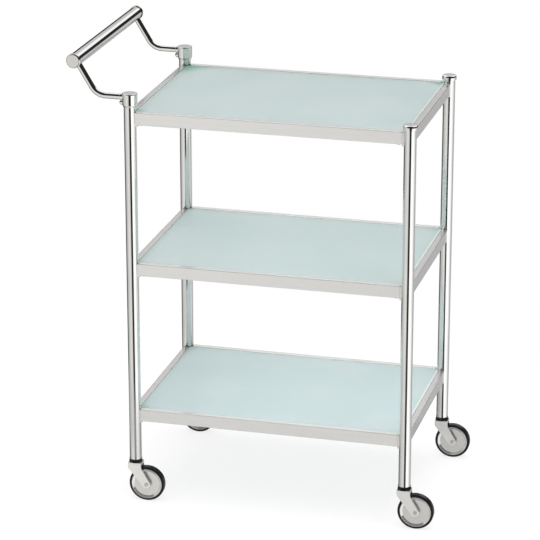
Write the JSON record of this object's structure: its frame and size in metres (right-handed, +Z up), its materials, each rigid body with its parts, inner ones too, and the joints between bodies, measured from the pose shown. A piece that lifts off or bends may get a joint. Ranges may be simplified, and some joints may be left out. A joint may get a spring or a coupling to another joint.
{
  "type": "serving cart",
  "caption": "Push cart with frosted glass shelves in satin steel rails, round chrome posts, a bar handle on bent rods at one end and swivel castors.",
  "frame": {"origin": "on the floor, under the middle of the whole cart's box, handle and castors included", "axes": "+Z up; +X along the cart away from the handle, so the handle is at -X; +Y to the back of the pictured view"},
  "size_m": [0.7616, 0.428, 0.957],
  "materials": {
    "post_chrome": "polished plated tube with fine lengthwise hairlines",
    "bar_chrome": "polished plated tube",
    "cap_chrome": "polished, slightly softened plated cap",
    "handle_chrome": "polished plated rod and cast collar",
    "rail_metal": "satin plated rail, brushed along its length",
    "saddle_metal": "satin plated casting",
    "frosted_glass": "acid-etched pale green glass with clear green edges",
    "seal_rubber": "soft grey strip",
    "screw_steel": "bright zinc-plated",
    "ring_plastic": "glossy black moulding",
    "fork_chrome": "pressed and plated sheet steel, slightly satin",
    "axle_steel": "plated socket-head axle",
    "hub_chrome": "plated wheel centre with a satin web and a bright dished rim",
    "tyre_rubber": "smooth black rubber tread"
  },
  "bodies": {
    "frame": {"post_front_left": "post_chrome", "post_front_right": "post_chrome", "post_back_left": "post_chrome", "post_back_right": "post_chrome", "post_cap_front_right": "cap_chrome", "post_cap_back_right": "cap_chrome", "handle_collar_front_left": "handle_chrome", "handle_collar_back_left": "handle_chrome", "handle_bar": "bar_chrome", "handle_cap_front": "cap_chrome", "handle_cap_back": "cap_chrome", "handle_rod_front": "handle_chrome", "handle_rod_back": "handle_chrome", "handle_set_screws": "screw_steel", "front_rail_bottom": "rail_metal", "right_rail_bottom": "rail_metal", "back_rail_bottom": "rail_metal", "left_rail_bottom": "rail_metal", "glass_shelf_bottom": "frosted_glass", "glass_seal_bottom": "seal_rubber", "rail_saddles_bottom": "saddle_metal", "rail_screws_bottom": "screw_steel", "front_rail_middle": "rail_metal", "right_rail_middle": "rail_metal", "back_rail_middle": "rail_metal", "left_rail_middle": "rail_metal", "glass_shelf_middle": "frosted_glass", "glass_seal_middle": "seal_rubber", "rail_saddles_middle": "saddle_metal", "rail_screws_middle": "screw_steel", "front_rail_top": "rail_metal", "right_rail_top": "rail_metal", "back_rail_top": "rail_metal", "left_rail_top": "rail_metal", "glass_shelf_top": "frosted_glass", "glass_seal_top": "seal_rubber", "rail_saddles_top": "saddle_metal", "rail_screws_top": "screw_steel", "castor_ring_front_left": "ring_plastic", "castor_ring_front_right": "ring_plastic", "castor_ring_back_left": "ring_plastic", "castor_ring_back_right": "ring_plastic", "castor_stems": "screw_steel"},
    "swivel_front_left": {"castor_fork_front_left": "fork_chrome", "castor_axle_front_left": "axle_steel"},
    "wheel_front_left": {"castor_hub_front_left": "hub_chrome", "castor_tyre_front_left": "tyre_rubber"},
    "swivel_front_right": {"castor_fork_front_right": "fork_chrome", "castor_axle_front_right": "axle_steel"},
    "wheel_front_right": {"castor_hub_front_right": "hub_chrome", "castor_tyre_front_right": "tyre_rubber"},
    "swivel_back_left": {"castor_fork_back_left": "fork_chrome", "castor_axle_back_left": "axle_steel"},
    "wheel_back_left": {"castor_hub_back_left": "hub_chrome", "castor_tyre_back_left": "tyre_rubber"},
    "swivel_back_right": {"castor_fork_back_right": "fork_chrome", "castor_axle_back_right": "axle_steel"},
    "wheel_back_right": {"castor_hub_back_right": "hub_chrome", "castor_tyre_back_right": "tyre_rubber"}
  },
  "joints": [
    {"name": "castor_swivel_front_left", "type": "hinge", "parent": "frame", "child": "swivel_front_left", "pos_m": [-0.25432, -0.195, 0.0842], "axis": [0, 0, 1], "continuous": true},
    {"name": "wheel_spin_front_left", "type": "hinge", "parent": "swivel_front_left", "child": "wheel_front_left", "pos_m": [-0.22983, -0.19415, 0.0375], "axis": [-0.0349, 0.9994, 0], "continuous": true},
    {"name": "castor_swivel_front_right", "type": "hinge", "parent": "frame", "child": "swivel_front_right", "pos_m": [0.31868, -0.195, 0.0842], "axis": [0, 0, 1], "continuous": true},
    {"name": "wheel_spin_front_right", "type": "hinge", "parent": "swivel_front_right", "child": "wheel_front_right", "pos_m": [0.34317, -0.19415, 0.0375], "axis": [-0.0349, 0.9994, 0], "continuous": true},
    {"name": "castor_swivel_back_left", "type": "hinge", "parent": "frame", "child": "swivel_back_left", "pos_m": [-0.25432, 0.195, 0.0842], "axis": [0, 0, 1], "continuous": true},
    {"name": "wheel_spin_back_left", "type": "hinge", "parent": "swivel_back_left", "child": "wheel_back_left", "pos_m": [-0.22983, 0.19586, 0.0375], "axis": [-0.0349, 0.9994, 0], "continuous": true},
    {"name": "castor_swivel_back_right", "type": "hinge", "parent": "frame", "child": "swivel_back_right", "pos_m": [0.31868, 0.195, 0.0842], "axis": [0, 0, 1], "continuous": true},
    {"name": "wheel_spin_back_right", "type": "hinge", "parent": "swivel_back_right", "child": "wheel_back_right", "pos_m": [0.34317, 0.19586, 0.0375], "axis": [-0.0349, 0.9994, 0], "continuous": true}
  ]
}
